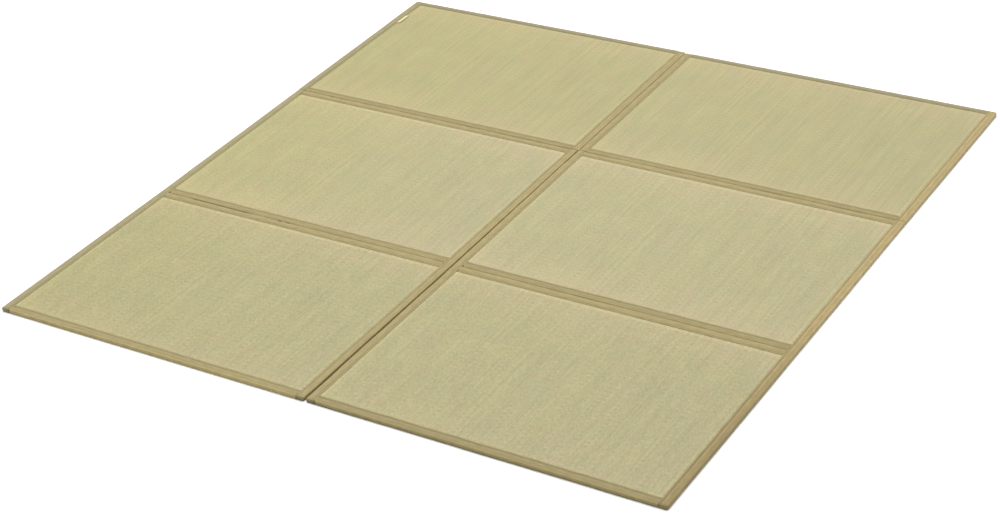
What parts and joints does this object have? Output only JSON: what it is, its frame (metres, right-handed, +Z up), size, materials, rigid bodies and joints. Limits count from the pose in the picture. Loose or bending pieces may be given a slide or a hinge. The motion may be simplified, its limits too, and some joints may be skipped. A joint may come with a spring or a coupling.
{
  "type": "folding tatami mat",
  "caption": "Thin folding mat of woven rush panels in two columns, each edged with a cotton binding tape, laid out flat for a floor.",
  "frame": {"origin": "on the floor, under the centre of the outline of the whole mat", "axes": "+Z up; +Y from the front edge to the back edge, along the rush stalks and up each column of three panels; +X to the right, across the two columns"},
  "size_m": [1.7646, 1.8022, 0.0106],
  "materials": {
    "rush": "woven rush, low sheen",
    "binding": "matte woven cotton tape",
    "tag": "matte woven ribbon"
  },
  "bodies": {
    "root": {"binding_back_left_back_edge": "binding", "binding_back_left_front_edge": "binding", "binding_back_right_back_edge": "binding", "binding_back_right_front_edge": "binding", "binding_back_section_left_left_side": "binding", "binding_back_section_left_right_side": "binding", "binding_back_section_right_left_side": "binding", "binding_back_section_right_right_side": "binding", "binding_front_left_back_edge": "binding", "binding_front_left_front_edge": "binding", "binding_front_right_back_edge": "binding", "binding_front_right_front_edge": "binding", "binding_front_section_left_left_side": "binding", "binding_front_section_left_right_side": "binding", "binding_front_section_right_left_side": "binding", "binding_front_section_right_right_side": "binding", "binding_middle_left_back_edge": "binding", "binding_middle_left_front_edge": "binding", "binding_middle_right_back_edge": "binding", "binding_middle_right_front_edge": "binding", "rush_back_left": "rush", "rush_back_right": "rush", "rush_front_left": "rush", "rush_front_right": "rush", "rush_middle_left": "rush", "rush_middle_right": "rush", "tag_back_left": "tag"}
  },
  "joints": []
}
